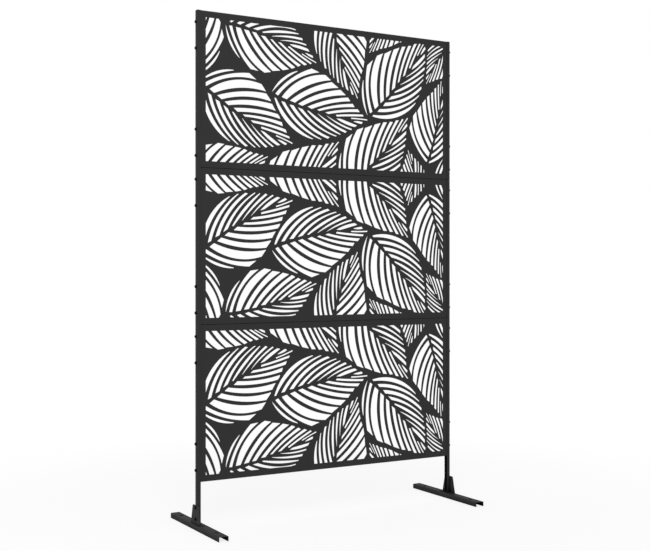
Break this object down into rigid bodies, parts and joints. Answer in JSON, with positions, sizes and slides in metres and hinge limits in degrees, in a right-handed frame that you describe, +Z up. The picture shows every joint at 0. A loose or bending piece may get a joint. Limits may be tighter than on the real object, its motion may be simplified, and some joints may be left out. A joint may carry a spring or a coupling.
{
  "type": "metal privacy screen",
  "caption": "Free-standing metal privacy screen with leaf-cut sheet panels stacked between slim posts on channel feet.",
  "frame": {"origin": "on the floor, midway between the two posts and at the posts' mid-depth", "axes": "+X along the screen to the right as seen from the front, +Y from front to back, +Z up"},
  "size_m": [1.242, 0.47, 2.0296],
  "materials": {
    "powder_coat": "charcoal powder coat with a fine grain",
    "black_steel": "black coated steel"
  },
  "bodies": {
    "root": {"panel_bottom": "powder_coat", "panel_middle": "powder_coat", "panel_top": "powder_coat", "post_lower_left": "powder_coat", "post_lower_right": "powder_coat", "post_upper_left": "powder_coat", "post_upper_right": "powder_coat", "foot_channel_left": "powder_coat", "foot_channel_right": "powder_coat", "foot_bracket_left": "powder_coat", "foot_bracket_right": "powder_coat", "bracket_weld_left": "black_steel", "bracket_weld_right": "black_steel", "panel_bolts_left": "black_steel", "panel_bolts_right": "black_steel", "panel_washers_left": "black_steel", "panel_washers_right": "black_steel", "panel_nuts_left": "black_steel", "panel_nuts_right": "black_steel", "foot_bolts_left": "black_steel", "foot_bolts_right": "black_steel", "foot_washers_left": "black_steel", "foot_washers_right": "black_steel", "foot_nuts_left": "black_steel", "foot_nuts_right": "black_steel"}
  },
  "joints": []
}
